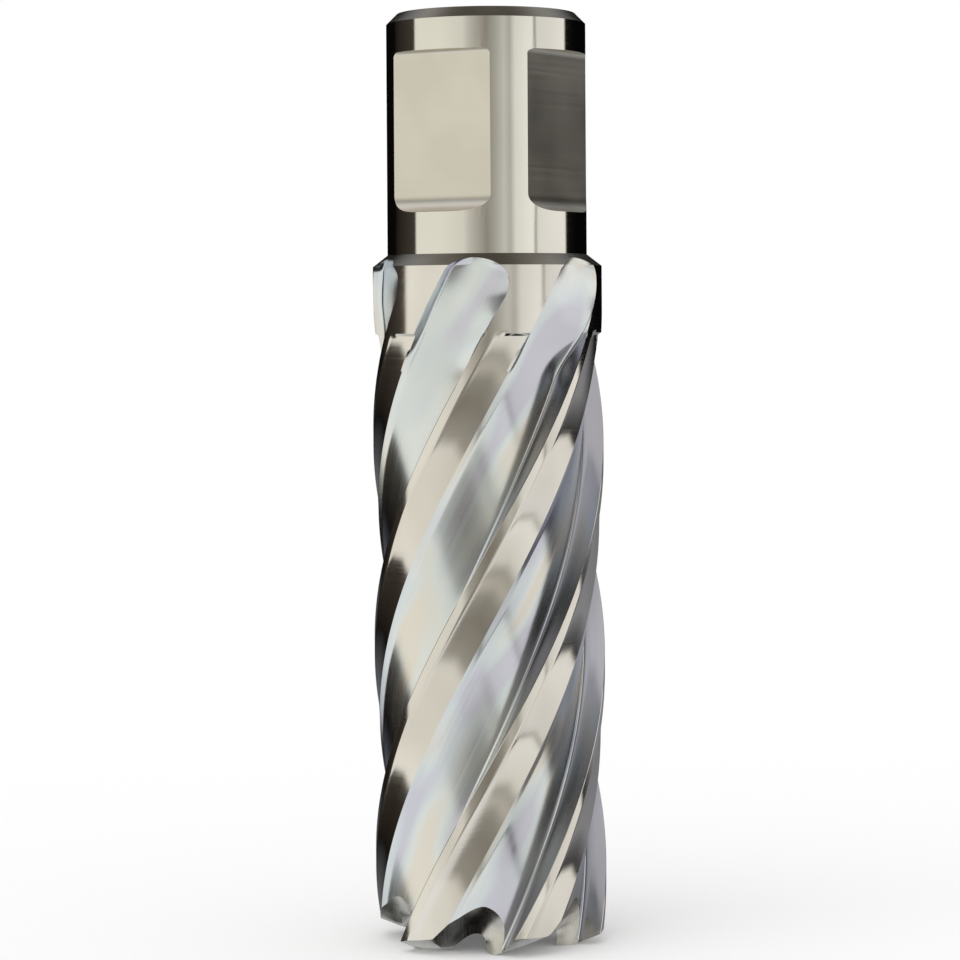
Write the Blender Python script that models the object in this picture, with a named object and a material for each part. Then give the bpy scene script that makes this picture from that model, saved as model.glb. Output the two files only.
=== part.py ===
"""Annular cutter with a Weldon shank, ground all over from one bar of high-speed steel.

The cutter stands on its teeth with its axis upright. The origin is on the axis, level with the tips.
Angles turn anticlockwise seen from above and start at the front, on -Y.
"""
import math

import bmesh
import bpy

# Driving dimensions, in metres
CUTTER_DIAMETER = 0.0220
CUT_LENGTH = 0.0578
WALL = 0.0035
HELIX_LEAD = 0.1205
COLLAR_LENGTH = 0.00635
COLLAR_CHAMFER = 0.0011
COLLAR_UNDERSIZE = 0.00006
SHANK_DIAMETER = 0.01905
SHANK_LENGTH = 0.0230
SHANK_CHAMFER = 0.0010
FLAT_DEPTH = 0.00165
FLAT_LENGTH = 0.01515
FLAT_SETBACK = 0.00395
FLAT_CORNER = 0.0005
PILOT_DIAMETER = 0.0080
PILOT_CHAMFER = 0.0005
SLUG_DEPTH = 0.0560
SLUG_CONE = 0.0020
HEEL_STEP = 0.00083
MARGIN_STEP = 0.00015
RELIEF_RUNOUT = 0.00025
RUNOUT_LENGTH = 0.0033
ARCH_HEIGHT = 0.0038
HEEL_ARCH_HEIGHT = 0.0012
ARCH_GAP = 0.0004
HOOK_FADE_LENGTH = 0.0065
HOOK_FADE_END = 0.0022
DISH_SWELL = 2.4

# Driving shares of one tooth pitch, measured from the cutting edge or from the heel
TOOTH_COUNT = 6
MARGIN_SHARE = 0.087
STEP_SHARE = 0.012
FACET_SHARE = 0.240
LAND_SHARE = 0.375
HEEL_SHARES = (0.015, 0.027, 0.053)
HOOK_SHARES = (0.033, 0.0575, 0.130)
ARCH_TOP_SHARE = 0.547

# Driving angles, in degrees. A bend is the tilt lost in each degree round the axis.
FACET_TILT = 14.4
BACK_BEND = 0.5
FLOOR_TILT = 10.8
FLOOR_BEND = 0.22
EDGE_PHASE = 5.9
FLAT_ANGLES = (-32.0, 58.0)
SHARP_ANGLE = 25.0

# Driving dimensions of the ground tooth ends
TIP_INSET = 0.0024
TIP_LAND = 0.0006
GULLET_HEIGHT = 0.0018
GULLET_SLOPE = 1.395
GULLET_CENTRE_SHARE = 0.633
GULLET_BACK_SHARE = 0.308
# Degrees by which the gullet's back widens for each metre outward.
GULLET_SPREAD = 2700.0
RAKE_INNER_SHARE = 0.20
RAKE_GASH_SHARE = 0.0013
LEAST_RELIEF = 0.02

# Tooth forms, which alternate. Inner, outer and relief are slopes, outer_relief is relief gained per metre.
POINTED = {"tip_land": 0.0, "inner": 0.30, "outer": 0.78, "relief": 0.30, "outer_relief": -105.0}
BROAD = {"tip_land": TIP_LAND, "inner": 0.20, "outer": 0.42, "relief": 0.10, "outer_relief": 53.0}

# Fineness of the mesh
BODY_LEVELS = 31
LEVEL_GAP = 0.00005
WELD_DISTANCE = 0.000001
BORE_SIDES = 64
GULLET_STEPS = 6
RELIEF_STEPS = 4
FLOOR_STEPS = 3
COLLAR_STEPS = 3
FLAT_ARC_STEPS = 6
FLAT_CORNER_STEPS = 3
HEEL_STAGES = (0.0, 0.5, 1.0)
HOOK_STAGES = (1.0, 0.75, 0.5, 0.25, 0.0)
ARCH_TURNS = (0, 20, 38, 52, 65, 78, 90)

# Sizes that follow
PITCH = 360.0 / TOOTH_COUNT
CUTTER_RADIUS = CUTTER_DIAMETER / 2
SHANK_RADIUS = SHANK_DIAMETER / 2
COLLAR_RADIUS = CUTTER_RADIUS - COLLAR_UNDERSIZE
PILOT_RADIUS = PILOT_DIAMETER / 2
SLUG_RADIUS = CUTTER_RADIUS - WALL
TIP_RADIUS = CUTTER_RADIUS - TIP_INSET
COLLAR_EDGE_Z = CUT_LENGTH + COLLAR_LENGTH
SHANK_FOOT_Z = COLLAR_EDGE_Z + COLLAR_CHAMFER
TOP_Z = SHANK_FOOT_Z + SHANK_LENGTH
ARCH_TOP_Z = SHANK_FOOT_Z - ARCH_GAP
ARCH_FOOT_Z = ARCH_TOP_Z - ARCH_HEIGHT
RUNOUT_FOOT_Z = CUT_LENGTH - RUNOUT_LENGTH
HOOK_FADED_Z = CUT_LENGTH + HOOK_FADE_END
LAND = LAND_SHARE * PITCH
MARGIN = MARGIN_SHARE * PITCH
STEP_END = MARGIN + STEP_SHARE * PITCH
FACET_END = FACET_SHARE * PITCH
FLUTE = PITCH - LAND
HEEL = [share * PITCH for share in HEEL_SHARES]
HOOK = [share * PITCH for share in HOOK_SHARES]
ALLOWANCE = 0.0010
CUTTER_REACH = 0.0030


def at(radius, angle, height):
    """Point at an angle in degrees from the front."""
    turn = math.radians(angle)
    return (radius * math.sin(turn), -radius * math.cos(turn), height)


def twist(height):
    """Turn of the right-hand helix at a height."""
    return 360.0 * min(height, SHANK_FOOT_Z) / HELIX_LEAD


def eased(radius, tilt, bend, turn):
    """Radius after a turn in degrees along a face that starts at a tilt and loses some of it each degree."""
    mean = math.radians(tilt - bend * turn / 2)
    return radius * (1.0 - math.radians(turn) * math.tan(mean))


def land_radius(behind):
    """Land at an angle behind its cutting edge: a full margin, a small step, a flat facet, a rounder back."""
    if behind > LAND or behind <= MARGIN:
        return CUTTER_RADIUS
    if behind <= STEP_END:
        return CUTTER_RADIUS - MARGIN_STEP * (behind - MARGIN) / (STEP_END - MARGIN)
    facet = eased(CUTTER_RADIUS - MARGIN_STEP, FACET_TILT, 1.0, min(behind, FACET_END) - STEP_END)
    back_tilt = FACET_TILT - (FACET_END - STEP_END)
    return eased(facet, back_tilt, BACK_BEND, max(0.0, behind - FACET_END))


def floor_radius(ahead):
    """Floor of the flute, which falls gently from the heel to the rake wall."""
    return eased(land_radius(LAND) - HEEL_STEP, FLOOR_TILT, FLOOR_BEND, FLUTE - HEEL[1] - ahead)


def heel_points():
    """Start, corner and end of the fillet under the heel: angle behind the heel and radius."""
    start, corner, end = HEEL
    top = land_radius(LAND)
    wall = HEEL_STEP / corner
    return (start, top - wall * start), (corner, top - HEEL_STEP), (end, floor_radius(FLUTE - end))


def hook_points():
    """Start, corner and end of the hook that turns the rake wall into the floor: angle ahead and radius."""
    start, corner, end = HOOK
    wall = (CUTTER_RADIUS - floor_radius(corner)) / corner
    return (start, CUTTER_RADIUS - wall * start), (corner, floor_radius(corner)), (end, floor_radius(end))


def on_curve(points, share):
    """Point at a share of the curve that rounds a corner from start to end."""
    start, corner, end = points
    weights = ((1.0 - share) ** 2, 2 * share * (1.0 - share), share ** 2)
    return tuple(weights[0] * start[i] + weights[1] * corner[i] + weights[2] * end[i] for i in (0, 1))


def share_at(start, corner, end, place):
    """Share of that curve at which one of its coordinates first reaches a place."""
    run = corner - start
    root = math.sqrt(max(0.0, run ** 2 + (start - 2 * corner + end) * (place - start)))
    return (place - start) / (run + math.copysign(root, run))


def flute_radius(ahead):
    """Flute at an angle ahead of a cutting edge: straight rake wall, hook, falling floor, steep filleted heel."""
    hook = hook_points()
    heel = heel_points()
    behind_heel = FLUTE - ahead
    if ahead <= HOOK[0]:
        return CUTTER_RADIUS + (hook[0][1] - CUTTER_RADIUS) * ahead / HOOK[0]
    if ahead < HOOK[2]:
        return on_curve(hook, share_at(*HOOK, ahead))[1]
    if behind_heel <= HEEL[0]:
        return land_radius(LAND) + (heel[0][1] - land_radius(LAND)) * behind_heel / HEEL[0]
    if behind_heel < HEEL[2]:
        return on_curve(heel, share_at(*HEEL, behind_heel))[1]
    return floor_radius(ahead)


def blank_radius(behind, height):
    """Turned and relieved body, before the flutes are cut."""
    relieved_below = CUT_LENGTH - RELIEF_RUNOUT
    if height <= relieved_below:
        return land_radius(behind)
    if height <= COLLAR_EDGE_Z:
        share = min(1.0, (height - relieved_below) / RELIEF_RUNOUT)
        return land_radius(behind) + (COLLAR_RADIUS - land_radius(behind)) * share
    share = min(1.0, (height - COLLAR_EDGE_Z) / COLLAR_CHAMFER)
    return COLLAR_RADIUS + (SHANK_RADIUS - COLLAR_RADIUS) * share


def flute_edges(height):
    """Angles behind a cutting edge between which the flute is open. They meet at the top of its arch."""
    arch_top = ARCH_TOP_SHARE * PITCH
    rise = min(1.0, max(0.0, (height - ARCH_FOOT_Z) / ARCH_HEIGHT))
    heel_rise = min(1.0, max(0.0, (height - ARCH_TOP_Z + HEEL_ARCH_HEIGHT) / HEEL_ARCH_HEIGHT))
    rake_edge = PITCH - (PITCH - arch_top) * (1.0 - math.sqrt(1.0 - rise ** 2))
    heel_edge = LAND + (arch_top - LAND) * (1.0 - math.sqrt(1.0 - heel_rise ** 2))
    return heel_edge, rake_edge


def smooth(start, end, height):
    """Share of the way from one height to another, eased at both."""
    share = min(1.0, max(0.0, (height - start) / (end - start)))
    return share * share * (3.0 - 2.0 * share)


def flute_depth(share, behind, height):
    """Depth of the flute below the blank at a share of its width. In the collar its rake side opens to a dish."""
    below_chamfer = min(height, COLLAR_EDGE_Z)
    body = min(blank_radius(0.0, below_chamfer), blank_radius(behind, below_chamfer))
    middle = flute_radius(FLUTE / 2)
    depth = max(0.0, body - flute_radius(FLUTE * (1.0 - share)))
    across = max(0.0, share - HEEL[2] / FLUTE) / (1.0 - HEEL[2] / FLUTE)
    if across > 0.0:
        beside_heel = body - floor_radius(FLUTE - HEEL[2])
        dish = (1.0 - across) * (beside_heel + DISH_SWELL * (body - middle) * across)
        depth += (dish - depth) * smooth(HOOK_FADED_Z - HOOK_FADE_LENGTH, HOOK_FADED_Z, height)
    lift = (blank_radius(0.0, ARCH_TOP_Z) - middle) * smooth(RUNOUT_FOOT_Z, ARCH_FOOT_Z, height)
    left = max(0.0, blank_radius(behind, height) - middle - lift)
    return depth * left / (body - middle)


def section(height):
    """One tooth's share of the section, as pairs of angle behind the cutting edge and radius."""
    heel_edge, rake_edge = flute_edges(height)
    land = [0.0, MARGIN, STEP_END, FACET_END, LAND, (LAND + heel_edge) / 2]
    points = [(behind, blank_radius(behind, height)) for behind in land]
    hook_end = FLUTE - HOOK[2]
    places = [0.0] + [on_curve(heel_points(), stage)[0] for stage in HEEL_STAGES]
    places += [HEEL[2] + (hook_end - HEEL[2]) * i / FLOOR_STEPS for i in range(1, FLOOR_STEPS)]
    places += [FLUTE - on_curve(hook_points(), stage)[0] for stage in HOOK_STAGES]
    for place in places:
        share = place / FLUTE
        behind = heel_edge + (rake_edge - heel_edge) * share
        points.append((behind, blank_radius(behind, height) - flute_depth(share, behind, height)))
    for share in (0.0, 0.5):
        behind = rake_edge + (PITCH - rake_edge) * share
        points.append((behind, blank_radius(behind, height)))
    return points


def levels():
    """Heights of the section rings, close together where the flutes run out."""
    relieved_below = CUT_LENGTH - RELIEF_RUNOUT
    heights = [-ALLOWANCE + (relieved_below + ALLOWANCE) * i / BODY_LEVELS for i in range(BODY_LEVELS + 1)]
    heights += [CUT_LENGTH + (ARCH_FOOT_Z - CUT_LENGTH) * i / COLLAR_STEPS for i in range(COLLAR_STEPS)]
    heights.append(COLLAR_EDGE_Z)
    heights += [ARCH_FOOT_Z + ARCH_HEIGHT * math.sin(math.radians(turn)) for turn in ARCH_TURNS]
    spaced = []
    for height in sorted(heights):
        if not spaced or height - spaced[-1] > LEVEL_GAP:
            spaced.append(height)
    return spaced + [SHANK_FOOT_Z]


def new_object(name, bm):
    """Object from a bmesh, with its faces turned outward."""
    bmesh.ops.recalc_face_normals(bm, faces=bm.faces)
    mesh = bpy.data.meshes.new(name)
    bm.to_mesh(mesh)
    bm.free()
    obj = bpy.data.objects.new(name, mesh)
    bpy.context.collection.objects.link(obj)
    return obj


def skin(bm, rings):
    """Side faces between rings of as many points each."""
    count = len(rings[0])
    for lower, upper in zip(rings, rings[1:]):
        for i in range(count):
            j = (i + 1) % count
            bm.faces.new((lower[i], lower[j], upper[j], upper[i]))


def section_ring(bm, height, points):
    """Ring of vertices at a height from one tooth's points, turned by the helix."""
    ring = []
    for tooth in range(TOOTH_COUNT):
        for behind, radius in points:
            angle = EDGE_PHASE + tooth * PITCH + twist(height) + behind
            ring.append(bm.verts.new(at(radius, angle, height)))
    return ring


def fluted_body():
    """Shank, collar and twisted lands as one closed skin, with an allowance below the tips."""
    bm = bmesh.new()
    rings = [section_ring(bm, height, section(height)) for height in levels()]
    for radius, height in ((SHANK_RADIUS, TOP_Z - SHANK_CHAMFER), (SHANK_RADIUS - SHANK_CHAMFER, TOP_Z)):
        rings.append(section_ring(bm, height, [(behind, radius) for behind, _ in section(TOP_Z)]))
    skin(bm, rings)
    bm.faces.new(reversed(rings[0]))
    bm.faces.new(rings[-1])
    bmesh.ops.remove_doubles(bm, verts=bm.verts, dist=WELD_DISTANCE)
    return new_object("annular_cutter", bm)


def bore_cutter():
    """Slug bore, its cone and the pilot-pin hole, as one turned body."""
    profile = (
        (SLUG_RADIUS, -CUTTER_REACH),
        (SLUG_RADIUS, SLUG_DEPTH),
        (PILOT_RADIUS, SLUG_DEPTH + SLUG_CONE),
        (PILOT_RADIUS, TOP_Z - PILOT_CHAMFER),
        (PILOT_RADIUS + PILOT_CHAMFER + CUTTER_REACH, TOP_Z + CUTTER_REACH),
    )
    bm = bmesh.new()
    rings = []
    for radius, height in profile:
        ring = [bm.verts.new(at(radius, 360.0 * i / BORE_SIDES, height)) for i in range(BORE_SIDES)]
        rings.append(ring)
    skin(bm, rings)
    bm.faces.new(reversed(rings[0]))
    bm.faces.new(rings[-1])
    return new_object("bore_cutter", bm)


def flat_cutter(name, angle):
    """Weldon flat: shoulder with a small corner above, flat floor, concave run-out below."""
    floor = SHANK_RADIUS - FLAT_DEPTH
    outside = SHANK_RADIUS + CUTTER_REACH
    top = TOP_Z - FLAT_SETBACK
    bottom = top - FLAT_LENGTH
    outline = [(outside, top)]
    for i in range(FLAT_CORNER_STEPS + 1):
        turn = math.radians(90.0 * i / FLAT_CORNER_STEPS)
        outline.append((floor + FLAT_CORNER * (1 - math.sin(turn)), top - FLAT_CORNER * (1 - math.cos(turn))))
    for i in range(FLAT_ARC_STEPS + 1):
        turn = math.radians(90.0 * i / FLAT_ARC_STEPS)
        outline.append((floor + FLAT_DEPTH * (1 - math.cos(turn)), bottom + FLAT_DEPTH * (1 - math.sin(turn))))
    outline.append((outside, bottom))
    turn = math.radians(angle)
    outward = (math.sin(turn), -math.cos(turn))
    sideways = (math.cos(turn), math.sin(turn))
    bm = bmesh.new()
    rings = []
    for side in (-SHANK_RADIUS, SHANK_RADIUS):
        ring = []
        for depth, height in outline:
            x = outward[0] * depth + sideways[0] * side
            y = outward[1] * depth + sideways[1] * side
            ring.append(bm.verts.new((x, y, height)))
        rings.append(ring)
    skin(bm, rings)
    bm.faces.new(reversed(rings[0]))
    bm.faces.new(rings[1])
    return new_object(name, bm)


def rake_angle(radius):
    """Angle by which the rake face leads the outer corner, in the helix's own turning frame."""
    gash = RAKE_GASH_SHARE * PITCH
    start, corner, end = hook_points()
    if radius >= start[1]:
        return start[0] * (CUTTER_RADIUS - radius) / (CUTTER_RADIUS - start[1]) - gash
    floor = end[1]
    on_hook = on_curve(hook_points(), share_at(start[1], corner[1], floor, max(radius, floor)))[0]
    if radius >= floor:
        return on_hook - gash
    inner = RAKE_INNER_SHARE * PITCH
    return on_hook + (inner - on_hook) * (floor - radius) / (floor - SLUG_RADIUS) - gash


def edge_height(form, radius):
    """Height of the cutting edge: lowest at the tip circle, rising to the bore and to the outside."""
    if radius >= TIP_RADIUS:
        return form["outer"] * (radius - TIP_RADIUS)
    return form["inner"] * max(0.0, TIP_RADIUS - form["tip_land"] - radius)


def tooth_curve(form, next_form, radius):
    """One pitch of the ground end on a cylinder: relieved back, gullet arch, next rake face.

    Gives pairs of angle behind the outer corner and height, in the helix's own turning frame.
    """
    start = -rake_angle(radius)
    end = PITCH - rake_angle(radius)
    centre = GULLET_CENTRE_SHARE * PITCH
    back = GULLET_BACK_SHARE * PITCH + GULLET_SPREAD * (radius - TIP_RADIUS)
    crown = GULLET_HEIGHT + GULLET_SLOPE * (radius - SLUG_RADIUS)
    slope = form["relief"] + form["outer_relief"] * (radius - TIP_RADIUS)
    rise = max(LEAST_RELIEF, slope) * radius * math.radians(1.0)
    rise = rise / (1.0 - rise * 360.0 / HELIX_LEAD)
    first = edge_height(form, radius)

    backs = [start + (centre - back - start) * i / RELIEF_STEPS for i in range(RELIEF_STEPS)]
    backs += [centre - back + back * i / GULLET_STEPS for i in range(GULLET_STEPS)]
    points = []
    for angle in backs:
        arch = crown * math.sin(math.radians(90.0) * max(0.0, (angle - centre + back) / back))
        points.append((angle, max(first + rise * (angle - start), arch)))
    last = edge_height(next_form, radius)
    for i in range(GULLET_STEPS):
        turn = math.radians(90.0 * i / GULLET_STEPS)
        angle = centre + (end - centre) * math.sin(turn)
        points.append((angle, last + (crown - last) * math.cos(turn)))
    return points


def tooth_cutter():
    """Ring whose upper side is the ground end of all the teeth."""
    inner = SLUG_RADIUS - ALLOWANCE
    outer = CUTTER_RADIUS + ALLOWANCE
    floor = hook_points()[2][1]
    hook = [on_curve(hook_points(), stage)[1] for stage in HOOK_STAGES]
    radii = [inner, TIP_RADIUS - TIP_LAND, TIP_RADIUS, floor]
    radii += [radius for radius in hook if radius > floor + LEVEL_GAP] + [outer]
    bm = bmesh.new()
    columns = []
    for radius in radii:
        column = []
        for tooth in range(TOOTH_COUNT):
            forms = (POINTED, BROAD) if tooth % 2 == 0 else (BROAD, POINTED)
            for behind, height in tooth_curve(forms[0], forms[1], radius):
                angle = EDGE_PHASE + tooth * PITCH + twist(height) + behind
                column.append(bm.verts.new(at(radius, angle, height)))
        columns.append(column)
    base = []
    for radius in (outer, inner):
        ring = []
        for tooth in range(TOOTH_COUNT):
            for behind, height in tooth_curve(POINTED, BROAD, radius):
                angle = EDGE_PHASE + tooth * PITCH + twist(-CUTTER_REACH) + behind
                ring.append(bm.verts.new(at(radius, angle, -CUTTER_REACH)))
        base.append(ring)
    skin(bm, columns + base + columns[:1])
    return new_object("tooth_cutter", bm)


def steel():
    """Bright ground high-speed steel."""
    material = bpy.data.materials.new("ground_steel")
    material.use_nodes = True
    shader = material.node_tree.nodes["Principled BSDF"]
    shader.inputs["Base Color"].default_value = (0.56, 0.54, 0.50, 1.0)
    shader.inputs["Metallic"].default_value = 1.0
    shader.inputs["Roughness"].default_value = 0.22
    return material


def cut(body, tool):
    """Take a tool's shape out of the body and keep the tool as a wire guide."""
    tool.hide_render = True
    tool.display_type = "WIRE"
    modifier = body.modifiers.new(tool.name, "BOOLEAN")
    modifier.operation = "DIFFERENCE"
    modifier.solver = "EXACT"
    modifier.object = tool


def build():
    """Whole cutter: fluted body, then bore, tooth ends and Weldon flats cut from it."""
    for old in list(bpy.data.objects):
        bpy.data.objects.remove(old, do_unlink=True)
    body = fluted_body()
    body.data.materials.append(steel())
    body.data.shade_smooth()
    body.data.set_sharp_from_angle(angle=math.radians(SHARP_ANGLE))
    cut(body, bore_cutter())
    cut(body, tooth_cutter())
    for index, angle in enumerate(FLAT_ANGLES):
        cut(body, flat_cutter(f"flat_cutter_{index + 1}", angle))


build()
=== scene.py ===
"""Looks of the annular cutter: ground high-speed steel in a small studio.

Lengths are in metres. The cutter stands on its teeth with its axis on Z and the tips at zero height.
Angles turn anticlockwise seen from above and start at the front, on -Y.
"""
import math

import bmesh
import bpy
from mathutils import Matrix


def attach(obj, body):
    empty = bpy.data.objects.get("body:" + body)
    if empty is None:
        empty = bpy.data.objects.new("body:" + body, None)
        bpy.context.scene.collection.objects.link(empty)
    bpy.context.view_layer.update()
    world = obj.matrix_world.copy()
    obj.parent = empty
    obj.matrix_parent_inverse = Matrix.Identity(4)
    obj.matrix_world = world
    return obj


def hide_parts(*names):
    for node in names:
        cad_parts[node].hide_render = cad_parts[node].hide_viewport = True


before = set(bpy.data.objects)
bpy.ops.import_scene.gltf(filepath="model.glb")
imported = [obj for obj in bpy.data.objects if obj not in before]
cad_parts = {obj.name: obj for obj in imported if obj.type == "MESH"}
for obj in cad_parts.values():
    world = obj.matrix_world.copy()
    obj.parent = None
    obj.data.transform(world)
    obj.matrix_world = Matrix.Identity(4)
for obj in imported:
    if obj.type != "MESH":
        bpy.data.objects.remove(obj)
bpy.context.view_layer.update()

# Sizes of the cutter
CUTTER_RADIUS = 0.0110
CUT_LENGTH = 0.0578
SLUG_RADIUS = 0.0075
HELIX_LEAD = 0.1205
COLLAR_RADIUS = 0.01094
COLLAR_EDGE_Z = 0.06415
SHANK_FOOT_Z = 0.06525
SHANK_RADIUS = 0.009525
SHANK_CHAMFER = 0.0010
TOP_Z = 0.08825
FLAT_DEPTH = 0.00165
FLAT_TOP_Z = 0.0843
FLAT_BOTTOM_Z = 0.06915
FLAT_CORNER = 0.0005
FLAT_ANGLES = (-32.0, 58.0)
PILOT_RADIUS = 0.0040
PILOT_CHAMFER = 0.0005
SLUG_DEPTH = 0.0560
SLUG_CONE = 0.0020
FLUTE_DEPTH = 0.0020
FLOOR_RADIUS = CUTTER_RADIUS - FLUTE_DEPTH
FLOOR_START_RADIUS = 0.01018
MARGIN_STEP = 0.00005
RELIEF_RUNOUT = 0.00025
RUNOUT_FOOT_Z = 0.0545
ARCH_TOP_Z = 0.06485
ARCH_HEIGHT = 0.0038
HOOK_FADE_LENGTH = 0.0065
HOOK_FADED_Z = 0.0600
# Depth of the run-out's dish beside the heel, and what it gains across the flute before it closes
DISH_EDGE = 0.0016
DISH_FALL = 0.0036
HEEL_ARCH_HEIGHT = 0.0012
EDGE_HONE = 0.00003

# Angles of one tooth, in degrees. Places are counted behind its cutting edge, but FLOOR_START and the heels
# on from the heel, and HOOK and RAKE_FOOT back from the next edge. Heels and hook are each a start, a corner
# and an end. A bend is the tilt lost with each degree.
TEETH = 6
PITCH = 360.0 / TEETH
MARGIN = 5.2
STEP_END = 5.9
FACET_END = 14.4
LAND = 22.5
FACET_TILT = 14.4
BACK_BEND = 0.5
FLOOR_TILT = 19.2
FLOOR_BEND = 0.41
ARCH_TOP = 32.8
FLOOR_START = 3.3
HEEL = (2.6, 3.3, 4.4)
DISH_HEEL = (0.9, 1.6, 3.2)
HOOK = (0.35, 0.5, 3.0)
RAKE_FOOT = 1.2
HONE = 0.3
EDGE_PHASE = 5.9
FLUTE = PITCH - LAND

# Tooth ends
TIP_RADIUS = 0.0086
TIP_LAND = 0.0006
GULLET_HEIGHT = 0.0018
GULLET_SLOPE = 1.395
GULLET_CENTRE = 38.0
GULLET_BACK = 18.5
# Degrees by which the gullet's back widens for each metre outward
GULLET_SPREAD = 2700.0
RAKE_INNER_ANGLE = 12.0
RAKE_GASH = 0.08
LEAST_RELIEF = 0.02
# Tooth forms, which alternate. Inner, outer and relief are slopes, outer_relief is relief gained per metre.
POINTED = {"tip_land": 0.0, "inner": 0.30, "outer": 0.78, "relief": 0.30, "outer_relief": -105.0}
BROAD = {"tip_land": TIP_LAND, "inner": 0.20, "outer": 0.42, "relief": 0.10, "outer_relief": 53.0}

# Fineness
BODY_LEVELS = 210
LEAST_LEVEL = 0.00002
BORE_LAP = 0.0002
BORE_SIDES = 180
WELD = 0.000001
ALLOWANCE = 0.0010
CUTTER_REACH = 0.0030
SHARP_ANGLE = 28.0

# Camera and studio
CAMERA_DISTANCE = 0.300
CAMERA_HEIGHT = 0.05904
CAMERA_LENS = 117.6
SENSOR_WIDTH = 36.0
CAMERA_ROLL = 0.38
FRAME_PIXELS = 960
CENTRE_PIXELS = (487.6, 320.0)


def linear(code, alpha=1.0):
    """Linear colour from an sRGB hex code."""
    values = [int(code[i:i + 2], 16) / 255 for i in (1, 3, 5)]
    return tuple(v / 12.92 if v <= 0.04045 else ((v + 0.055) / 1.055) ** 2.4 for v in values) + (alpha,)


def add(tree, kind, inputs=None, **settings):
    """Add a node with its settings, and give each input a value or a link."""
    node = tree.nodes.new(kind)
    for name, value in settings.items():
        setattr(node, name, value)
    for key, value in (inputs or {}).items():
        if isinstance(value, bpy.types.NodeSocket):
            tree.links.new(value, node.inputs[key])
        else:
            node.inputs[key].default_value = value
    return node


def spread(start, end, count):
    """Even steps from start up to, but not with, end."""
    return [start + (end - start) * i / count for i in range(count)]


def at(radius, angle, height):
    """Point at an angle in degrees from the front."""
    turn = math.radians(angle)
    return (radius * math.sin(turn), -radius * math.cos(turn), height)


# Shape of the fluted body, untwisted: the helix is added by the node tree

def eased(radius, tilt, bend, turn):
    """Radius after a turn in degrees on a face that starts at a tilt and loses some of it each degree."""
    mean = math.radians(tilt - bend * turn / 2)
    return radius * (1.0 - math.radians(turn) * math.tan(mean))


def land_radius(behind):
    """Land at an angle behind its edge: honed corner, margin, small step, flat facet, rounder back."""
    if behind > LAND:
        return CUTTER_RADIUS - EDGE_HONE
    if behind < HONE:
        return CUTTER_RADIUS - EDGE_HONE * (1.0 - behind / HONE)
    if behind <= MARGIN:
        return CUTTER_RADIUS
    if behind <= STEP_END:
        return CUTTER_RADIUS - MARGIN_STEP * (behind - MARGIN) / (STEP_END - MARGIN)
    facet = eased(CUTTER_RADIUS - MARGIN_STEP, FACET_TILT, 1.0, min(behind, FACET_END) - STEP_END)
    back_tilt = FACET_TILT - (FACET_END - STEP_END)
    return eased(facet, back_tilt, BACK_BEND, max(0.0, behind - FACET_END))


def rounded(start, corner, end, place):
    """Second coordinate, at a place on the first, of the curve that rounds a corner from start to end."""
    run = corner[0] - start[0]
    across = place - start[0]
    root = math.sqrt(run ** 2 + (start[0] - 2 * corner[0] + end[0]) * across)
    share = across / (run + math.copysign(root, run))
    return start[1] * (1 - share) ** 2 + 2 * corner[1] * share * (1 - share) + end[1] * share ** 2


def floor_radius(ahead):
    """Floor of the flute, which falls gently from the heel to the rake wall."""
    return eased(FLOOR_START_RADIUS, FLOOR_TILT, FLOOR_BEND, FLUTE - FLOOR_START - ahead)


def hook_points():
    """Start, corner and end of the hook that turns the rake wall into the floor: angle ahead and radius."""
    start, corner, end = HOOK
    wall = (CUTTER_RADIUS - floor_radius(corner)) / corner
    return (start, CUTTER_RADIUS - wall * start), (corner, floor_radius(corner)), (end, floor_radius(end))


def flute_radius(ahead):
    """Flute at an angle ahead of a cutting edge: rake wall, hook, falling floor, small bevelled heel."""
    start, corner, end = hook_points()
    if ahead <= start[0]:
        return CUTTER_RADIUS + (start[1] - CUTTER_RADIUS) * ahead / start[0]
    if ahead < end[0]:
        return rounded(start, corner, end, ahead)
    behind_heel = FLUTE - ahead
    foot = floor_radius(FLUTE - HEEL[1])
    wall_foot = land_radius(LAND) + (foot - land_radius(LAND)) * HEEL[0] / HEEL[1]
    if behind_heel <= HEEL[0]:
        return land_radius(LAND) + (wall_foot - land_radius(LAND)) * behind_heel / HEEL[0]
    if behind_heel < HEEL[2]:
        floor = (HEEL[2], floor_radius(FLUTE - HEEL[2]))
        return rounded((HEEL[0], wall_foot), (HEEL[1], foot), floor, behind_heel)
    return floor_radius(ahead)


def blank_radius(behind, height):
    """Turned and relieved body, before the flutes are ground."""
    relieved_below = CUT_LENGTH - RELIEF_RUNOUT
    if height <= relieved_below:
        return land_radius(behind)
    if height <= COLLAR_EDGE_Z:
        share = min(1.0, (height - relieved_below) / RELIEF_RUNOUT)
        return land_radius(behind) + (COLLAR_RADIUS - land_radius(behind)) * share
    share = min(1.0, (height - COLLAR_EDGE_Z) / (SHANK_FOOT_Z - COLLAR_EDGE_Z))
    return COLLAR_RADIUS + (SHANK_RADIUS - COLLAR_RADIUS) * share


def flute_edges(height):
    """Angles behind a cutting edge between which the flute is open. They meet at the top of its arch."""
    rise = min(1.0, max(0.0, (height - ARCH_TOP_Z + ARCH_HEIGHT) / ARCH_HEIGHT))
    heel_rise = min(1.0, max(0.0, (height - ARCH_TOP_Z + HEEL_ARCH_HEIGHT) / HEEL_ARCH_HEIGHT))
    rake_edge = PITCH - (PITCH - ARCH_TOP) * (1.0 - math.sqrt(1.0 - rise ** 2))
    heel_edge = LAND + (ARCH_TOP - LAND) * (1.0 - math.sqrt(1.0 - heel_rise ** 2))
    return heel_edge, rake_edge


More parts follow.
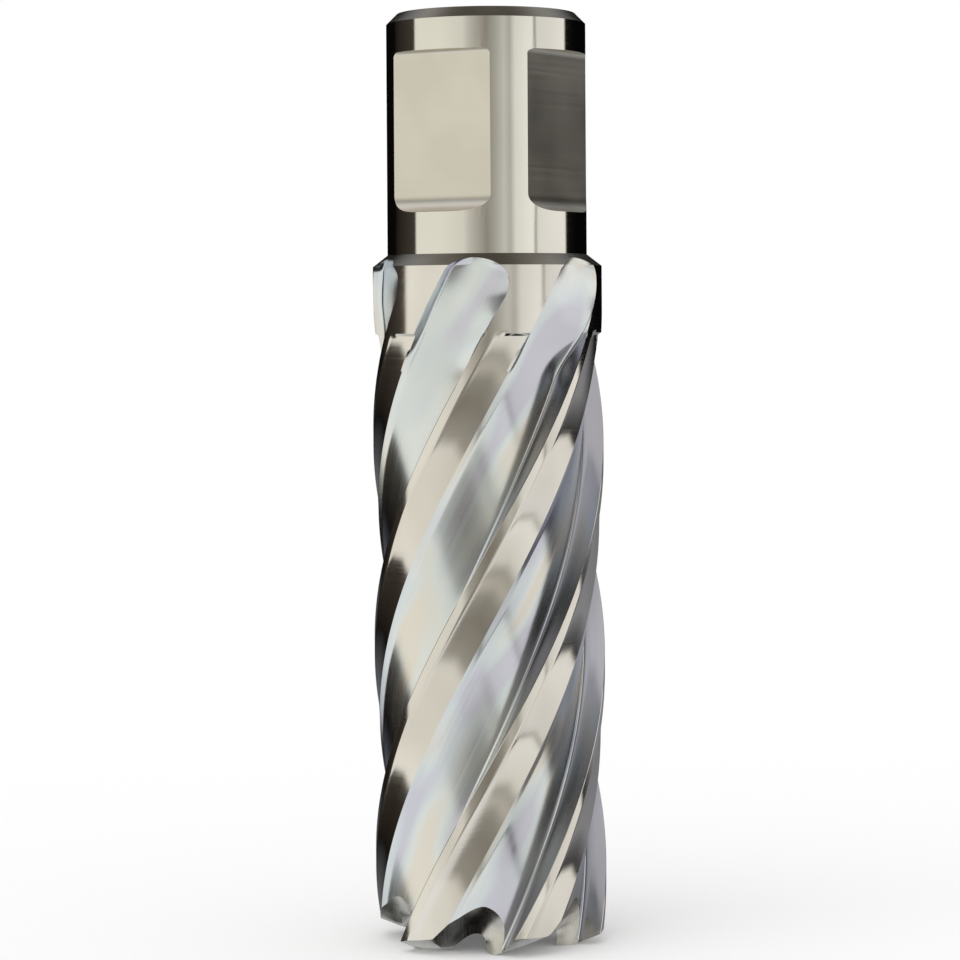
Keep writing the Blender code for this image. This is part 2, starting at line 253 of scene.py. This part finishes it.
def smooth(start, end, height):
    """Share of the way from one height to another, eased at both."""
    share = min(1.0, max(0.0, (height - start) / (end - start)))
    return share * share * (3.0 - 2.0 * share)


def dish_rim(behind_heel):
    """Share of the dish's depth near its heel: steep wall, then a fillet."""
    start, corner, end = DISH_HEEL
    if behind_heel <= start:
        return behind_heel / corner
    if behind_heel < end:
        return rounded((start, start / corner), (corner, 1.0), (end, 1.0), behind_heel)
    return 1.0


def flute_depth(share, behind, height):
    """Depth of the flute below the blank at a share of its width. Towards the collar it opens to a dish."""
    below_chamfer = min(height, COLLAR_EDGE_Z)
    body = min(blank_radius(0.0, below_chamfer), blank_radius(behind, below_chamfer))
    middle = flute_radius(FLUTE / 2)
    depth = max(0.0, body - flute_radius(FLUTE * (1.0 - share)))
    across = max(0.0, (share - DISH_HEEL[2] / FLUTE) / (1.0 - DISH_HEEL[2] / FLUTE))
    dish = dish_rim(FLUTE * share) * (1.0 - across) * (DISH_EDGE + DISH_FALL * across)
    depth += (dish - depth) * smooth(HOOK_FADED_Z - HOOK_FADE_LENGTH, HOOK_FADED_Z, height)
    lift = (blank_radius(0.0, ARCH_TOP_Z) - middle) * smooth(RUNOUT_FOOT_Z, ARCH_TOP_Z - ARCH_HEIGHT, height)
    left = max(0.0, blank_radius(behind, height) - middle - lift)
    return depth * left / (body - middle)


def section(height):
    """One tooth of the section: angle behind the edge, radius, and the finish of a flute face after it."""
    heel_edge, rake_edge = flute_edges(height)
    land = [0.0, HONE] + spread(HONE, MARGIN, 5)[1:] + [MARGIN]
    land += spread(STEP_END, LAND, 10) + spread(LAND, heel_edge, 4)
    points = [(behind, blank_radius(behind, height), None) for behind in land]
    hook_end = FLUTE - HOOK[2]
    hook_start = FLUTE - HOOK[0]
    places = spread(0.0, DISH_HEEL[2], 9) + spread(DISH_HEEL[2], HEEL[2], 6)
    places += spread(HEEL[2], hook_end, 12) + spread(hook_end, hook_start, 16) + spread(hook_start, FLUTE, 3)
    for place in places:
        share = place / FLUTE
        behind = heel_edge + (rake_edge - heel_edge) * share
        radius = blank_radius(behind, height) - flute_depth(share, behind, height)
        points.append((behind, radius, "flute" if place < FLUTE - RAKE_FOOT else "rake"))
    for behind in spread(rake_edge, PITCH, 8):
        points.append((behind, blank_radius(behind, height), None))
    return points


def levels():
    """Heights of the section rings, close together where the flutes run out."""
    relieved_below = CUT_LENGTH - RELIEF_RUNOUT
    heights = spread(-ALLOWANCE, relieved_below, BODY_LEVELS) + [relieved_below, CUT_LENGTH, COLLAR_EDGE_Z]
    heights += spread(CUT_LENGTH, ARCH_TOP_Z - ARCH_HEIGHT, 10)
    for arch, steps in ((ARCH_HEIGHT, 24), (HEEL_ARCH_HEIGHT, 8)):
        heights += [ARCH_TOP_Z - arch * (1 - math.sin(math.radians(turn))) for turn in spread(0, 90, steps)]
    spaced = []
    for height in sorted(heights + [ARCH_TOP_Z]):
        if not spaced or height - spaced[-1] > LEAST_LEVEL:
            spaced.append(height)
    return spaced + [SHANK_FOOT_Z]


# Finishes of the turned and fluted body. A face holds the number of its own.
FINISHES = ("land", "flute", "rake", "chamfer", "shank")


def ring_of(bm, points):
    """Vertices at points that are given as angle behind a cutting edge, radius and height."""
    return [bm.verts.new(at(radius, EDGE_PHASE + behind, height)) for behind, radius, height in points]


def tooth_strip():
    """One tooth's share of the untwisted body's skin, from below the tips to the shank's top."""
    rows = []
    for height in levels():
        rows.append([(behind, radius, height, ground) for behind, radius, ground in section(height)])
    straight = section(TOP_Z)
    top_rings = (
        (SHANK_RADIUS, (SHANK_FOOT_Z + FLAT_BOTTOM_Z) / 2),
        (SHANK_RADIUS, TOP_Z - SHANK_CHAMFER),
        (SHANK_RADIUS - SHANK_CHAMFER, TOP_Z),
        (0.0, TOP_Z),
    )
    for radius, height in top_rings:
        rows.append([(behind, radius, height, None) for behind, _, _ in straight])
    rows.insert(0, [(behind, 0.0, -ALLOWANCE, None) for behind, _, _ in straight])
    bm = bmesh.new()
    zone = bm.faces.layers.int.new("finish")
    grid = []
    for row in rows:
        grid.append(ring_of(bm, [point[:3] for point in row] + [(PITCH,) + row[0][1:3]]))
    for index, (lower, upper) in enumerate(zip(grid, grid[1:])):
        height = (rows[index][0][2] + rows[index + 1][0][2]) / 2
        for i in range(len(lower) - 1):
            face = bm.faces.new((lower[i], lower[i + 1], upper[i + 1], upper[i]))
            ground = rows[index][i][3]
            if ground and height < ARCH_TOP_Z:
                face[zone] = FINISHES.index(ground if height < CUT_LENGTH else "flute")
            elif height > TOP_Z - SHANK_CHAMFER or COLLAR_EDGE_Z < height < SHANK_FOOT_Z:
                face[zone] = FINISHES.index("chamfer")
            elif height > SHANK_FOOT_Z:
                face[zone] = FINISHES.index("shank")
    return new_object("tooth_strip", bm)


# Tools that cut the bore, the tooth ends and the flats

def new_object(name, bm, outward=False):
    """Object from a bmesh, with its faces turned outward where asked."""
    if outward:
        bmesh.ops.recalc_face_normals(bm, faces=bm.faces)
    mesh = bpy.data.meshes.new(name)
    bm.to_mesh(mesh)
    bm.free()
    obj = bpy.data.objects.new(name, mesh)
    bpy.context.collection.objects.link(obj)
    return obj


def skin(bm, rings):
    """Side faces between closed rings of as many points each."""
    count = len(rings[0])
    for lower, upper in zip(rings, rings[1:]):
        for i in range(count):
            j = (i + 1) % count
            bm.faces.new((lower[i], lower[j], upper[j], upper[i]))


def bore_tool():
    """Slug bore, its cone and the pilot-pin hole, as one turned body."""
    profile = (
        (SLUG_RADIUS, -CUTTER_REACH),
        (SLUG_RADIUS, SLUG_DEPTH),
        (PILOT_RADIUS, SLUG_DEPTH + SLUG_CONE),
        (PILOT_RADIUS, TOP_Z - PILOT_CHAMFER),
        (PILOT_RADIUS + PILOT_CHAMFER + CUTTER_REACH, TOP_Z + CUTTER_REACH),
    )
    bm = bmesh.new()
    rings = []
    for radius, height in profile:
        rings.append([bm.verts.new(at(radius, angle, height)) for angle in spread(0, 360, BORE_SIDES)])
    skin(bm, rings)
    bm.faces.new(reversed(rings[0]))
    bm.faces.new(rings[-1])
    return new_object("bore_tool", bm, outward=True)


def flat_tool(angle):
    """Drive flat: shoulder with a small corner above, flat floor, concave run-out below."""
    floor = SHANK_RADIUS - FLAT_DEPTH
    outside = SHANK_RADIUS + CUTTER_REACH
    outline = [(outside, FLAT_TOP_Z)]
    for turn in spread(0, 91, 7):
        arc = math.radians(turn)
        depth = floor + FLAT_CORNER * (1 - math.sin(arc))
        outline.append((depth, FLAT_TOP_Z - FLAT_CORNER * (1 - math.cos(arc))))
    for turn in spread(0, 91, 14):
        arc = math.radians(turn)
        depth = floor + FLAT_DEPTH * (1 - math.cos(arc))
        outline.append((depth, FLAT_BOTTOM_Z + FLAT_DEPTH * (1 - math.sin(arc))))
    outline.append((outside, FLAT_BOTTOM_Z))
    turn = math.radians(angle)
    bm = bmesh.new()
    rings = []
    for side in (-SHANK_RADIUS, SHANK_RADIUS):
        ring = []
        for depth, height in outline:
            x = math.sin(turn) * depth + math.cos(turn) * side
            y = -math.cos(turn) * depth + math.sin(turn) * side
            ring.append(bm.verts.new((x, y, height)))
        rings.append(ring)
    skin(bm, rings)
    bm.faces.new(reversed(rings[0]))
    bm.faces.new(rings[1])
    return new_object("flat_tool", bm, outward=True)


def rake_angle(radius):
    """Angle by which the rake face leads the outer corner, in the untwisted frame."""
    start, corner, end = hook_points()
    if radius >= start[1]:
        return start[0] * (CUTTER_RADIUS - radius) / (CUTTER_RADIUS - start[1]) - RAKE_GASH
    floor = end[1]
    on_hook = rounded(start[::-1], corner[::-1], end[::-1], max(radius, floor))
    inward = max(0.0, floor - radius) / (floor - SLUG_RADIUS)
    return on_hook + (RAKE_INNER_ANGLE - on_hook) * inward - RAKE_GASH


def edge_height(form, radius):
    """Height of the cutting edge: lowest at the tip circle, rising to the bore and to the outside."""
    if radius >= TIP_RADIUS:
        return form["outer"] * (radius - TIP_RADIUS)
    return form["inner"] * max(0.0, TIP_RADIUS - form["tip_land"] - radius)


def tooth_curve(form, next_form, radius):
    """One pitch of the ground end on a cylinder: relieved back, gullet arch, next rake face."""
    start = -rake_angle(radius)
    end = PITCH - rake_angle(radius)
    crown = GULLET_HEIGHT + GULLET_SLOPE * (radius - SLUG_RADIUS)
    slope = form["relief"] + form["outer_relief"] * (radius - TIP_RADIUS)
    rise = max(LEAST_RELIEF, slope) * radius * math.radians(1.0)
    rise = rise / (1.0 - rise * 360.0 / HELIX_LEAD)
    first = edge_height(form, radius)
    last = edge_height(next_form, radius)
    back = GULLET_BACK + GULLET_SPREAD * (radius - TIP_RADIUS)
    points = []
    for angle in spread(start, GULLET_CENTRE - back, 8) + spread(GULLET_CENTRE - back, GULLET_CENTRE, 18):
        arch = crown * math.sin(math.radians(90.0) * max(0.0, (angle - GULLET_CENTRE + back) / back))
        points.append((angle, max(first + rise * (angle - start), arch)))
    for turn in spread(0, 90, 14):
        arc = math.radians(turn)
        angle = GULLET_CENTRE + (end - GULLET_CENTRE) * math.sin(arc)
        points.append((angle, last + (crown - last) * math.cos(arc)))
    return points


def tooth_end_pair():
    """Two teeth's share of the ring whose upper side is the ground end: a pointed and a broad one."""
    inner = SLUG_RADIUS - ALLOWANCE
    outer = CUTTER_RADIUS + ALLOWANCE / 2
    radii = [inner, SLUG_RADIUS - BORE_LAP] + spread(SLUG_RADIUS, TIP_RADIUS - TIP_LAND, 3)
    radii += [TIP_RADIUS - TIP_LAND, TIP_RADIUS, FLOOR_RADIUS] + spread(FLOOR_RADIUS, outer, 14)[1:] + [outer]
    bm = bmesh.new()
    columns = []
    for radius in radii:
        column = []
        pairs = [(0, POINTED, BROAD), (1, BROAD, POINTED)]
        for tooth, form, next_form in pairs:
            for behind, height in tooth_curve(form, next_form, radius):
                column.append((tooth * PITCH + behind, radius, height))
        behind, _, height = column[0]
        column.append((behind + 2 * PITCH, radius, height))
        columns.append(column)
    for radius in (outer, inner):
        source = columns[-1] if radius == outer else columns[0]
        columns.append([(behind, radius, -CUTTER_REACH) for behind, _, _ in source])
    grid = [ring_of(bm, column) for column in columns]
    grid.append(grid[0])
    for inward, outward in zip(grid, grid[1:]):
        for i in range(len(inward) - 1):
            bm.faces.new((outward[i], outward[i + 1], inward[i + 1], inward[i]))
    return new_object("tooth_end_pair", bm)


def teeth_tree(finishes):
    """Node tree that repeats a tooth round the axis, welds it, winds it on the helix and finishes it."""
    tree = bpy.data.node_groups.new("teeth_round_the_axis", "GeometryNodeTree")
    face = tree.interface
    face.new_socket("Tooth", in_out="INPUT", socket_type="NodeSocketGeometry")
    for name, kind in (("Copies", "Int"), ("Lead", "Float"), ("Helix Top", "Float"), ("Weld", "Float")):
        face.new_socket(name, in_out="INPUT", socket_type="NodeSocket" + kind)
    for name in finishes:
        face.new_socket(name, in_out="INPUT", socket_type="NodeSocketMaterial")
    face.new_socket("Body", in_out="OUTPUT", socket_type="NodeSocketGeometry")
    sizes = add(tree, "NodeGroupInput").outputs
    stations = add(tree, "GeometryNodeMeshLine", {"Count": sizes["Copies"], "Offset": (0.0, 0.0, 0.0)})
    index = add(tree, "GeometryNodeInputIndex")
    share = add(tree, "ShaderNodeMath", {0: index.outputs[0], 1: sizes["Copies"]}, operation="DIVIDE")
    turn = add(tree, "ShaderNodeMath", {0: share.outputs[0], 1: math.tau}, operation="MULTIPLY")
    rotation = add(tree, "ShaderNodeCombineXYZ", {"Z": turn.outputs[0]})
    copies = add(tree, "GeometryNodeInstanceOnPoints", {
        "Points": stations.outputs[0], "Instance": sizes["Tooth"], "Rotation": rotation.outputs[0]})
    whole = add(tree, "GeometryNodeRealizeInstances", {0: copies.outputs[0]})
    welded = add(tree, "GeometryNodeMergeByDistance", {
        "Geometry": whole.outputs[0], "Distance": sizes["Weld"]})
    place = add(tree, "GeometryNodeInputPosition")
    parts = add(tree, "ShaderNodeSeparateXYZ", {0: place.outputs[0]})
    climb = add(tree, "ShaderNodeMath", {0: parts.outputs["Z"], 1: sizes["Helix Top"]}, operation="MINIMUM")
    turns = add(tree, "ShaderNodeMath", {0: climb.outputs[0], 1: sizes["Lead"]}, operation="DIVIDE")
    twist = add(tree, "ShaderNodeMath", {0: turns.outputs[0], 1: math.tau}, operation="MULTIPLY")
    wound = add(tree, "ShaderNodeVectorRotate", {"Vector": place.outputs[0], "Angle": twist.outputs[0]},
                rotation_type="Z_AXIS")
    body = add(tree, "GeometryNodeSetPosition", {"Geometry": welded.outputs[0], "Position": wound.outputs[0]})
    zone = add(tree, "GeometryNodeInputNamedAttribute", {"Name": "finish"}, data_type="INT")
    for number, name in enumerate(finishes):
        chosen = add(tree, "FunctionNodeCompare", {2: zone.outputs[0], 3: number}, data_type="INT",
                     operation="EQUAL")
        body = add(tree, "GeometryNodeSetMaterial", {
            "Geometry": body.outputs[0], "Selection": chosen.outputs[0], "Material": sizes[name]})
    add(tree, "NodeGroupOutput", {0: body.outputs[0]})
    return tree


def repeat(obj, tree, copies, finishes):
    """Put the tree on a tooth's mesh, with its sizes set by socket identifier."""
    modifier = obj.modifiers.new("teeth", "NODES")
    modifier.node_group = tree
    values = {"Copies": copies, "Lead": HELIX_LEAD, "Helix Top": SHANK_FOOT_Z, "Weld": WELD} | finishes
    for item in tree.interface.items_tree:
        if item.in_out == "INPUT" and item.name in values:
            modifier[item.identifier] = values[item.name]


def ground_cutter(finish):
    """Whole cutter as one plain mesh: repeated teeth, then bore, tooth ends and flats cut from it."""
    body = tooth_strip()
    body_finishes = {name: finish[name] for name in FINISHES}
    repeat(body, teeth_tree(FINISHES), TEETH, body_finishes)
    ends = tooth_end_pair()
    repeat(ends, teeth_tree(("tooth_end",)), TEETH // 2, {"tooth_end": finish["tooth_end"]})
    tools = [(bore_tool(), "bore"), (ends, None)]
    tools += [(flat_tool(angle), "flat") for angle in FLAT_ANGLES]
    for tool, name in tools:
        if name:
            tool.data.materials.append(finish[name])
        modifier = body.modifiers.new(tool.name, "BOOLEAN")
        modifier.operation = "DIFFERENCE"
        modifier.solver = "EXACT"
        modifier.material_mode = "TRANSFER"
        modifier.object = tool
    graph = bpy.context.evaluated_depsgraph_get()
    mesh = bpy.data.meshes.new_from_object(body.evaluated_get(graph), depsgraph=graph)
    mesh.name = "cutter_steel"
    for obj in [body] + [tool for tool, _ in tools]:
        bpy.data.objects.remove(obj)
    mesh.shade_smooth()
    mesh.set_sharp_from_angle(angle=math.radians(SHARP_ANGLE))
    cutter = bpy.data.objects.new("cutter_steel", mesh)
    bpy.context.collection.objects.link(cutter)
    return cutter


# Finishes

# Spacing of marks and blotches is in millimetres along X, Y and Z. Wheel marks on such steel lie about
# 0.02 mm apart, which is too fine to show, so the ground faces draw them at least ten times as coarse.

# Where the blotches start along Z, in blotches, and the range of their noise that the tints are spread over
DRIFT_START = 2.0
TINT_START = 0.36
TINT_SPAN = 0.28
# Range of marks and blotches added together over which the gloss goes from bright to dull
WEAR_START = 0.7
WEAR_END = 1.3


def grain(tree, place, spacing, detail=3.0, start=0.0):
    """Noise drawn out into streaks by its spacing on each axis."""
    scale = [1000.0 / step for step in spacing]
    drawn = add(tree, "ShaderNodeMapping", {"Vector": place, "Scale": scale, "Location": (0.0, 0.0, start)})
    noise = add(tree, "ShaderNodeTexNoise", {"Vector": drawn.outputs[0], "Scale": 1.0, "Detail": detail})
    return noise.outputs["Fac"]


def along_flutes(tree, place):
    """Place turned back by the helix, so that streaks along Z follow the flutes."""
    parts = add(tree, "ShaderNodeSeparateXYZ", {0: place})
    turn = add(tree, "ShaderNodeMath", {0: parts.outputs["Z"], 1: -math.tau / HELIX_LEAD},
               operation="MULTIPLY")
    unwound = add(tree, "ShaderNodeVectorRotate", {"Vector": place, "Angle": turn.outputs[0]},
                  rotation_type="Z_AXIS")
    return unwound.outputs[0]


def steel(name, tints, roughness, marks, depth, blotches, wound=False):
    """Bare high-speed steel with tool marks in its depth and gloss, and tints that drift in soft blotches."""
    material = bpy.data.materials.new(name)
    material.use_nodes = True
    tree = material.node_tree
    shader = tree.nodes["Principled BSDF"]
    shader.inputs["Metallic"].default_value = 1.0
    place = add(tree, "ShaderNodeTexCoord").outputs["Object"]
    if wound:
        place = along_flutes(tree, place)
    streaks = grain(tree, place, marks)
    drift = grain(tree, place, blotches, 1.0, DRIFT_START)
    colours = add(tree, "ShaderNodeValToRGB", {"Fac": drift})
    ramp = colours.color_ramp.elements
    while len(ramp) < len(tints):
        ramp.new(0.5)
    for index, tint in enumerate(tints):
        ramp[index].position = TINT_START + TINT_SPAN * index / (len(tints) - 1)
        ramp[index].color = linear(tint)
    wear = add(tree, "ShaderNodeMath", {0: streaks, 1: drift}, operation="ADD")
    gloss = add(tree, "ShaderNodeMapRange", {
        "Value": wear.outputs[0], "From Min": WEAR_START, "From Max": WEAR_END,
        "To Min": roughness[0], "To Max": roughness[1]})
    relief = add(tree, "ShaderNodeBump", {"Height": streaks, "Distance": depth})
    for socket, value in (("Base Color", colours.outputs[0]), ("Roughness", gloss.outputs[0]),
                          ("Normal", relief.outputs[0])):
        tree.links.new(value, shader.inputs[socket])
    return material


def make_finishes():
    """All finishes of the one piece of steel, by the zone that they cover."""
    return {
        # Lands and collar are ground round the axis: bright, slightly warm, a fine grain across the view
        "land": steel("ground_land", ("#DDD8D0", "#E8E4DD"), (0.09, 0.16), (60, 60, 0.2), 0.0000015,
                      (5, 5, 9)),
        # Flutes are ground along the helix: softer, with faint lilac, blue and straw casts that drift in soft
        # blotches
        "flute": steel("ground_flute", ("#D2D2DD", "#DAE1E4", "#E4E8E7", "#E8E3D9"), (0.15, 0.23),
                       (0.25, 0.25, 30), 0.0000012, (4, 4, 11), wound=True),
        # Rake walls show darker than the floor of the flute through darker tints, which are painted shade of
        # the steep wall in the groove, with shallower marks along the helix
        "rake": steel("ground_rake_painted_shade", ("#B0AFB1", "#C0C0C5"), (0.16, 0.24), (0.5, 0.5, 30), 0.0000006,
                      (4, 4, 11), wound=True),
        # Chamfers are left as turned: darker and duller rings
        "chamfer": steel("turned_chamfer", ("#77746C", "#858178"), (0.22, 0.32), (60, 60, 0.15), 0.0000020,
                         (4, 4, 4)),
        # The shank is ground between centres to its fit: the mirror of the part, with hair-fine rings
        "shank": steel("ground_shank", ("#DDDAD1", "#E6E3DA"), (0.05, 0.11), (60, 60, 0.25), 0.0000010,
                       (6, 6, 14)),
        # Tooth ends are ground by a coarser wheel: grey, with deeper straight marks
        "tooth_end": steel("ground_tooth_end", ("#B5B3B0", "#CFCCC4"), (0.18, 0.30), (0.2, 4, 4), 0.0000030,
                           (1.5, 1.5, 1.5)),
        # The bore is drilled and reamed: dark and dull rings
        "bore": steel("reamed_bore", ("#8A8680", "#9A9690"), (0.28, 0.42), (60, 60, 0.3), 0.0000040,
                      (5, 5, 5)),
        # The flats are milled across: matt and even, with cutter marks round the shank
        "flat": steel("milled_flat", ("#D8D3C6", "#DFDACE"), (0.28, 0.34), (40, 40, 0.3), 0.0000010,
                      (5, 5, 5)),
    }


# Studio

STUDIO_RADIUS = 0.9
STUDIO_TOP = 0.335
STUDIO_FOOT = -0.34
# Azimuth, then the tones of the cards at and just above the horizon, below it, on the table and overhead
HORIZON, BELOW, TABLE, OVERHEAD = 1, 2, 3, 4
STUDIO_TONES = (
    (-180.0, "#060606", "#707278", "#C9CCCD", "#241E1A"),
    (-131.0, "#0A0908", "#0A0908", "#DADCDB", "#241E1A"),
    (-129.0, "#1D1915", "#1D1915", "#DADCDB", "#241E1A"),
    (-91.0, "#45403A", "#3A352F", "#E4E6E4", "#241E1A"),
    (-88.0, "#F8F7EF", "#F8F7EF", "#F4F4F2", "#C4C0B6"),
    (-60.0, "#F4F3EA", "#F0EFE7", "#F4F4F2", "#C4C0B6"),
    (-54.0, "#F3F2E9", "#EFEEE6", "#F4F4F2", "#C4C0B6"),
    (-27.0, "#ECEBE3", "#E6E5DD", "#F4F4F2", "#241E1A"),
    (-20.0, "#D2D0C9", "#A3A098", "#EEEEEC", "#241E1A"),
    (0.0, "#99958C", "#86827A", "#EEEEEC", "#241E1A"),
    (12.0, "#B9B9B2", "#96938A", "#EEEEEC", "#241E1A"),
    (20.0, "#D2D2CE", "#C4C2B9", "#F0F0EE", "#241E1A"),
    (27.0, "#BBBAB4", "#B0AEA6", "#F0F0EE", "#241E1A"),
    (33.0, "#ECECE8", "#E6E6E0", "#F0F0EE", "#241E1A"),
    (55.0, "#FEFEFA", "#F6F6F2", "#DCDCD8", "#241E1A"),
    (57.0, "#A5A49D", "#A5A49D", "#4A4845", "#241E1A"),
    (58.0, "#A5A49D", "#A5A49D", "#302E2C", "#241E1A"),
    (60.0, "#EDECE9", "#E4E3E0", "#22201E", "#241E1A"),
    (62.0, "#EEEDEA", "#E5E4E1", "#D8D8D4", "#241E1A"),
    (101.0, "#FFFDFA", "#F4F2EE", "#D8D8D4", "#241E1A"),
    (104.0, "#14120F", "#14120F", "#4A4A4C", "#241E1A"),
    (125.0, "#060606", "#8F9096", "#9D9FA4", "#241E1A"),
    (180.0, "#060606", "#707278", "#C9CCCD", "#241E1A"),
)
# Height, radius and tone of the rings that close the studio from the overhead cards to its middle
CEILING = (
    (0.385, 0.9, OVERHEAD), (0.50, 0.9, OVERHEAD), (0.61, 0.9, "#888C90"), (0.75, 0.9, "#BFC3C8"),
    (0.95, 0.9, "#EBEBEF"), (1.16, 0.8, "#FBF8FB"), (1.35, 0.5, "#9A978F"), (1.35, 0.0, "#9A978F"),
)
SHADOW_TONE = "#1C1B1A"
FLOOR_REACH = 4.0
PAPER_LIFT = 0.12
WORLD_LIGHT = 0.85
LAMP_STRENGTH = 0.55
LAMP_SOFTNESS = 50.0
LAMP_TILT = 35.0
LAMP_TURN = -40.0


def studio_cards():
    """Ring of pale panels and black flags that the steel mirrors. The camera sees through it."""
    bm = bmesh.new()
    tone = bm.verts.layers.float_color.new("tone")
    rings = []
    tiers = (
        (STUDIO_FOOT, 0.0, SHADOW_TONE), (STUDIO_FOOT, 0.2, SHADOW_TONE), (STUDIO_FOOT, 0.3, TABLE),
        (STUDIO_FOOT, STUDIO_RADIUS, TABLE), (STUDIO_FOOT, STUDIO_RADIUS, BELOW),
        (CAMERA_HEIGHT - 0.08, STUDIO_RADIUS, BELOW), (CAMERA_HEIGHT - 0.02, STUDIO_RADIUS, HORIZON),
        (STUDIO_TOP, STUDIO_RADIUS, HORIZON),
    ) + CEILING
    for height, radius, card in tiers:
        ring = []
        for tones in STUDIO_TONES:
            vert = bm.verts.new(at(radius, tones[0], height))
            vert[tone] = linear(tones[card] if isinstance(card, int) else card)
            ring.append(vert)
        rings.append(ring)
    for lower, upper in zip(rings, rings[1:]):
        for i in range(len(lower) - 1):
            bm.faces.new((lower[i], lower[i + 1], upper[i + 1], upper[i]))
    cards = new_object("studio_cards", bm)
    material = bpy.data.materials.new("studio_card")
    material.use_nodes = True
    tree = material.node_tree
    tree.nodes.clear()
    colour = add(tree, "ShaderNodeAttribute", attribute_name="tone")
    glow = add(tree, "ShaderNodeEmission", {"Color": colour.outputs["Color"]})
    add(tree, "ShaderNodeOutputMaterial", {"Surface": glow.outputs[0]})
    cards.data.materials.append(material)
    for ray in ("camera", "diffuse", "shadow", "transmission"):
        setattr(cards, "visible_" + ray, False)


finish = make_finishes()
cutter = ground_cutter(finish)
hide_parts("annular_cutter")
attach(cutter, "root")
studio_cards()

# Floor, which is lifted to white only where the camera sees it
bm = bmesh.new()
bmesh.ops.create_circle(bm, cap_ends=True, segments=96, radius=FLOOR_REACH)
floor = new_object("studio_floor", bm)
material = bpy.data.materials.new("matt_white_paper")
material.use_nodes = True
tree = material.node_tree
tree.nodes.clear()
path = add(tree, "ShaderNodeLightPath")
paper = add(tree, "ShaderNodeBsdfDiffuse", {"Color": linear("#F2F2F2")})
lift = add(tree, "ShaderNodeMath", {0: path.outputs["Is Camera Ray"], 1: PAPER_LIFT}, operation="MULTIPLY")
glow = add(tree, "ShaderNodeEmission", {"Strength": lift.outputs[0]})
both = add(tree, "ShaderNodeAddShader", {0: paper.outputs[0], 1: glow.outputs[0]})
add(tree, "ShaderNodeOutputMaterial", {"Surface": both.outputs[0]})
floor.data.materials.append(material)
floor.visible_glossy = False

# White world, a little dimmer where it lights the scene than where it is seen or mirrored
world = bpy.data.worlds.new("studio_world")
bpy.context.scene.world = world
world.use_nodes = True
tree = world.node_tree
tree.nodes.clear()
path = add(tree, "ShaderNodeLightPath")
seen = add(tree, "ShaderNodeMath", {0: path.outputs["Is Camera Ray"], 1: path.outputs["Is Glossy Ray"]},
           operation="MAXIMUM")
seen = add(tree, "ShaderNodeMath", {0: seen.outputs[0], 1: path.outputs["Is Transmission Ray"]},
           operation="MAXIMUM")
strength = add(tree, "ShaderNodeMapRange", {"Value": seen.outputs[0], "To Min": WORLD_LIGHT, "To Max": 1.0})
sky = add(tree, "ShaderNodeBackground", {"Color": (1.0, 1.0, 1.0, 1.0), "Strength": strength.outputs[0]})
add(tree, "ShaderNodeOutputWorld", {"Surface": sky.outputs[0]})

lamp = bpy.data.lights.new("soft_key", "SUN")
lamp.energy = LAMP_STRENGTH
lamp.angle = math.radians(LAMP_SOFTNESS)
lamp_object = bpy.data.objects.new("soft_key", lamp)
lamp_object.rotation_euler = (math.radians(LAMP_TILT), 0.0, math.radians(LAMP_TURN))
lamp_object.visible_glossy = False
bpy.context.collection.objects.link(lamp_object)

camera = bpy.data.cameras.new("camera")
camera.lens = CAMERA_LENS
camera.sensor_width = SENSOR_WIDTH
camera.clip_start = 0.01
camera.shift_x = (FRAME_PIXELS / 2 - CENTRE_PIXELS[0]) / FRAME_PIXELS
camera.shift_y = (CENTRE_PIXELS[1] - FRAME_PIXELS / 2) / FRAME_PIXELS
camera_object = bpy.data.objects.new("camera", camera)
camera_object.location = (0.0, -CAMERA_DISTANCE, CAMERA_HEIGHT)
camera_object.rotation_euler = (math.radians(90.0), math.radians(CAMERA_ROLL), 0.0)
bpy.context.collection.objects.link(camera_object)
bpy.context.scene.camera = camera_object

bpy.context.scene.view_settings.view_transform = "Standard"
